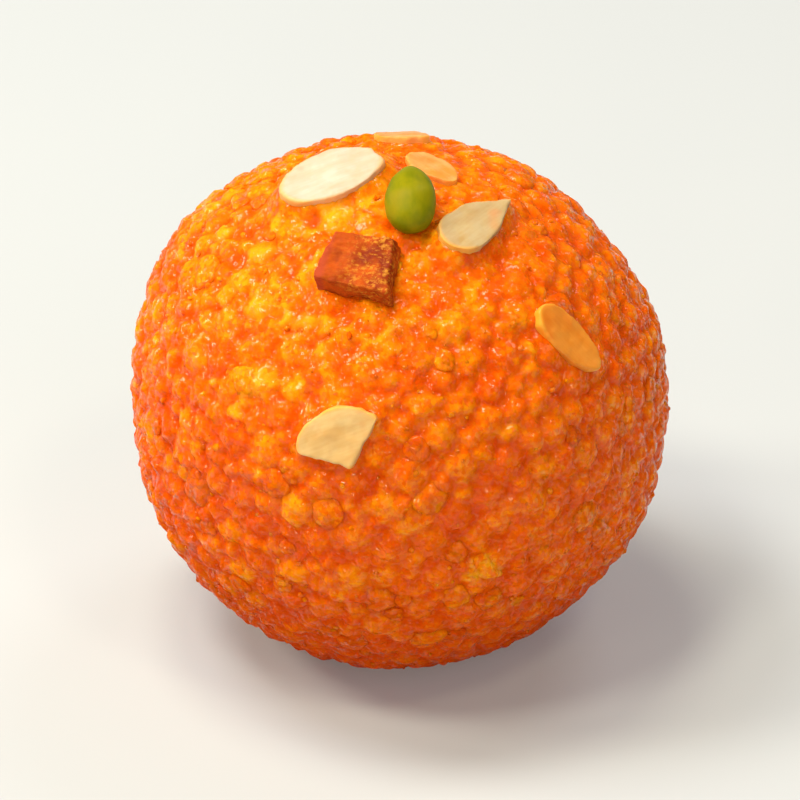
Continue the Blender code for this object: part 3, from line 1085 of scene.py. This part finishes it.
def addFlake(name, spec):
    deselectAll()
    bpy.ops.mesh.primitive_circle_add(
        vertices=nutMaking["outlineSides"], radius=1.0, fill_type="NGON"
    )
    piece = bpy.context.active_object
    piece.name = piece.data.name = name.replace("flake", "sliced")
    ragged = spec.get("ragged", nutMaking["ragged"])
    for vertex, point in zip(piece.data.vertices, flakeOutline(spec, nutMaking["outlineSides"])):
        stray = noise.noise_vector(point.to_3d() / nutMaking["raggedSize"]) * ragged
        vertex.co = (point.x + stray.x, point.y + stray.y, -spec["size"][2] / 2)
    bpy.ops.object.mode_set(mode="EDIT")
    bpy.ops.mesh.select_all(action="SELECT")
    bpy.ops.mesh.extrude_region_move(TRANSFORM_OT_translate={"value": (0, 0, spec["size"][2])})
    bpy.ops.mesh.select_all(action="SELECT")
    bpy.ops.mesh.remove_doubles(threshold=nutMaking["doubles"])
    bpy.ops.mesh.normals_make_consistent(inside=False)
    bpy.ops.object.mode_set(mode="OBJECT")
    softenCuts(piece, nutMaking["smoothing"])
    markFlat(piece, [s / 2 for s in spec["size"]], 2.0)
    setDown(piece, spec)
    addRelief(piece, *nutMaking["flakeRelief"])
    slot = "nut_glazed" if spec["finish"] in ("nutGlazed", "nutPeach") else "nut_ivory"
    finishPiece(piece, finishes[spec["finish"]], slot, name)


def addPistachio():
    deselectAll()
    bpy.ops.mesh.primitive_uv_sphere_add(
        segments=pistachio["segments"], ring_count=pistachio["rings"], radius=1.0
    )
    piece = bpy.context.active_object
    piece.name = piece.data.name = "greenKernel"
    half = [s / 2 for s in pistachio["size"]]
    for vertex in piece.data.vertices:
        across, deep, along = vertex.co
        narrow = 1 - pistachio["taper"] * (0.5 + 0.5 * along) ** 2
        vertex.co = (half[0] * along, half[1] * across * narrow, half[2] * deep * narrow)
    bpy.ops.object.mode_set(mode="EDIT")
    bpy.ops.mesh.select_all(action="SELECT")
    bpy.ops.mesh.normals_make_consistent(inside=False)
    bpy.ops.object.mode_set(mode="OBJECT")
    markFlat(piece, half, 2.0)
    setDown(piece, pistachio)
    addRelief(piece, *pistachio["relief"])
    finishPiece(piece, pistachioMaterial(), "pistachio_green", "pistachio")


def addChunk():
    deselectAll()
    bpy.ops.mesh.primitive_cube_add(size=2.0)
    piece = bpy.context.active_object
    piece.name = piece.data.name = "skinnedAlmond"
    half = [s / 2 for s in almondChunk["size"]]
    for vertex in piece.data.vertices:
        right, far, top = (1 if c > 0 else -1 for c in vertex.co)
        shift = almondChunk["topShift"] * half[0] * top
        vertex.co = (
            right * half[0] * (1 - almondChunk["farSlant"] * far) - shift,
            far * half[1] * (1 + almondChunk["rightSlant"] * right),
            top * half[2] * (1 - almondChunk["topSlant"] * right * far),
        )
    softenCuts(piece, almondChunk["smoothing"])
    markFlat(piece, half, 4.0)
    setDown(piece, almondChunk)
    addRelief(piece, *almondChunk["relief"])
    finishPiece(piece, chunkMaterial(), "almond_skin", "almond_chunk")


finishes = {name: nutMaterial(name) for name in nutFinish}
for flakeName, flakeSpec in flakes.items():
    addFlake(flakeName, flakeSpec)
addPistachio()
addChunk()
print("nuts made")

# Floor, light and camera
studio = {
    "floorSize": 6.0,
    "floorColour": srgb(182, 188, 202),
    "mottleColour": srgb(236, 234, 230),
    "mottleShare": 0.03,
    "mottleScale": 14.0,
    "mottleDetail": 2.0,
    "floorRoughness": 0.8,
    "floorGlow": (1.0, 0.97, 0.95, 1.0),
    "glow": 0.1,  # a light table, so that the shadow stays pale
    "world": 0.14,
    "worldColour": (1.0, 0.92, 0.78, 1.0),
    "cameraHeight": 30.0,  # degrees above level
    "cameraDistance": 0.511,
    "aim": (0.0, 0.0, 21.3 * mm),
    "ballPixels": 540.0,  # of the picture's width
    "picturePixels": 800,
    "sensor": 36.0,
    # bearing, height, distance, size, watts, colour
    "lights": (
        ("key", -105.0, 62.0, 0.62, 0.22, 1.9, (1.0, 0.96, 0.84)),
        ("fill", 30.0, 30.0, 0.75, 0.5, 1.0, (1.0, 0.95, 0.88)),
        ("back", 140.0, 50.0, 0.70, 0.3, 1.0, (1.0, 0.96, 0.9)),
        # small and bright: these make the wet spots glint
        ("glintLeft", -82.0, 42.0, 0.6, 0.14, 1.1, (1.0, 0.93, 0.66)),
        ("glintFront", -42.0, 62.0, 0.6, 0.14, 1.0, (1.0, 0.93, 0.66)),
        ("glintTop", -120.0, 80.0, 0.6, 0.16, 1.3, (1.0, 0.93, 0.66)),
        ("glintFar", -118.0, 22.0, 0.6, 0.13, 0.7, (1.0, 0.93, 0.66)),
        ("glintRight", 35.0, 56.0, 0.6, 0.1, 0.4, (1.0, 0.9, 0.55)),
        ("glintLow", -52.0, 10.0, 0.6, 0.1, 0.45, (1.0, 0.9, 0.55)),
        ("glintMiddle", -4.0, 20.0, 0.6, 0.08, 0.25, (1.0, 0.9, 0.55)),
    ),
}


def addFloor():
    deselectAll()
    bpy.ops.mesh.primitive_plane_add(size=studio["floorSize"])
    floor = bpy.context.active_object
    floor.name = "floor"
    material, tree, shader = newMaterial("floor")
    mottle = addNoise(tree, addCoords(tree), studio["mottleScale"], studio["mottleDetail"])
    mottle = addRange(tree, mottle, *middling, 0.0, studio["mottleShare"])
    feed(tree, shader, {
        "Base Color": addMix(tree, mottle, studio["floorColour"], studio["mottleColour"]),
        "Roughness": studio["floorRoughness"],
        "Emission Color": studio["floorGlow"],
        "Emission Strength": studio["glow"],
    })
    floor.data.materials.append(material)


def addLights():
    aim = Vector(studio["aim"])
    for name, bearing, height, distance, size, watts, colour in studio["lights"]:
        light = bpy.data.lights.new(name, "AREA")
        light.shape = "DISK"
        light.size = size
        light.energy = watts
        light.color = colour
        lamp = bpy.data.objects.new(name, light)
        bpy.context.scene.collection.objects.link(lamp)
        out = wayOut(bearing, height)
        lamp.location = aim + out * distance
        lamp.rotation_euler = out.to_track_quat("Z", "Y").to_euler()
    world = bpy.data.worlds.new("studio")
    world.use_nodes = True
    background = world.node_tree.nodes["Background"]
    feed(world.node_tree, background, {
        "Color": studio["worldColour"], "Strength": studio["world"],
    })
    bpy.context.scene.world = world


def addCamera():
    out = wayOut(0.0, studio["cameraHeight"])
    camera = bpy.data.cameras.new("camera")
    camera.sensor_width = studio["sensor"]
    ballShare = studio["ballPixels"] / studio["picturePixels"]
    camera.lens = studio["sensor"] * ballShare / ball["width"] * studio["cameraDistance"]
    lookout = bpy.data.objects.new("camera", camera)
    bpy.context.scene.collection.objects.link(lookout)
    lookout.location = Vector(studio["aim"]) + out * studio["cameraDistance"]
    lookout.rotation_euler = out.to_track_quat("Z", "Y").to_euler()
    bpy.context.scene.camera = lookout


addFloor()
addLights()
addCamera()
bpy.context.scene.view_settings.view_transform = "Standard"
print("studio made")
